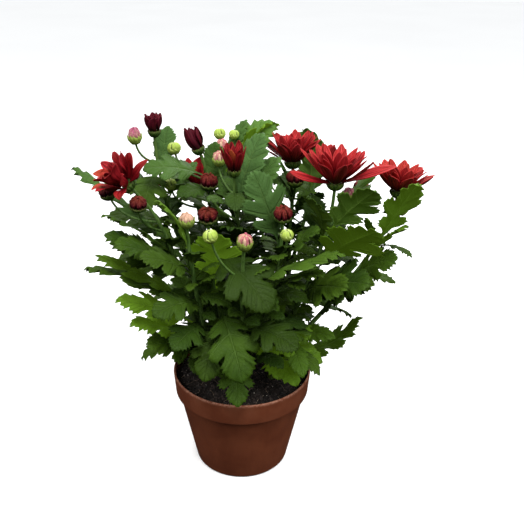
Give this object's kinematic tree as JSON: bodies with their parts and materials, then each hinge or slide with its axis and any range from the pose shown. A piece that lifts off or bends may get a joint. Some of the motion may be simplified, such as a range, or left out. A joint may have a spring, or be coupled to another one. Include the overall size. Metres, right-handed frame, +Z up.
{
  "type": "potted chrysanthemum",
  "caption": "Bushy pot chrysanthemum in a round plastic nursery pot: lobed leaves on branching stems, red blooms, half-open blooms and closed buds.",
  "frame": {"origin": "middle of the pot's base, on the surface it stands on", "axes": "+Z up through the pot's middle; -Y towards the side with the lowest front leaves"},
  "size_m": [0.2928, 0.1941, 0.3042],
  "materials": {
    "pot": "matte",
    "soil": "matte",
    "foliage": "satin",
    "petals_red": "matte",
    "petals_half": "matte",
    "petals_dark": "matte",
    "petals_pink": "matte"
  },
  "bodies": {
    "root": {"pot": "pot", "soil": "soil", "bloom_1": "petals_red", "bloom_2": "petals_red", "bloom_3": "petals_red", "bloom_4": "petals_red", "bloom_5": "petals_red", "bloom_6": "petals_red", "half_1": "petals_half", "half_2": "petals_half", "half_3": "petals_half", "dark_1": "petals_dark", "dark_2": "petals_dark", "dark_3": "petals_dark", "dark_4": "petals_dark", "dark_5": "petals_dark", "dark_6": "petals_dark", "dark_7": "petals_dark", "dark_8": "petals_dark", "pink_1": "petals_pink", "pink_2": "petals_pink", "pink_3": "petals_pink", "pink_4": "petals_pink", "pink_5": "petals_pink", "pink_6": "petals_pink", "pink_7": "petals_pink", "pink_8": "petals_pink", "pink_9": "petals_pink", "plant_left": "foliage", "plant_front": "foliage", "plant_right": "foliage", "plant_rear_left": "foliage", "plant_rear_right": "foliage"}
  },
  "joints": []
}
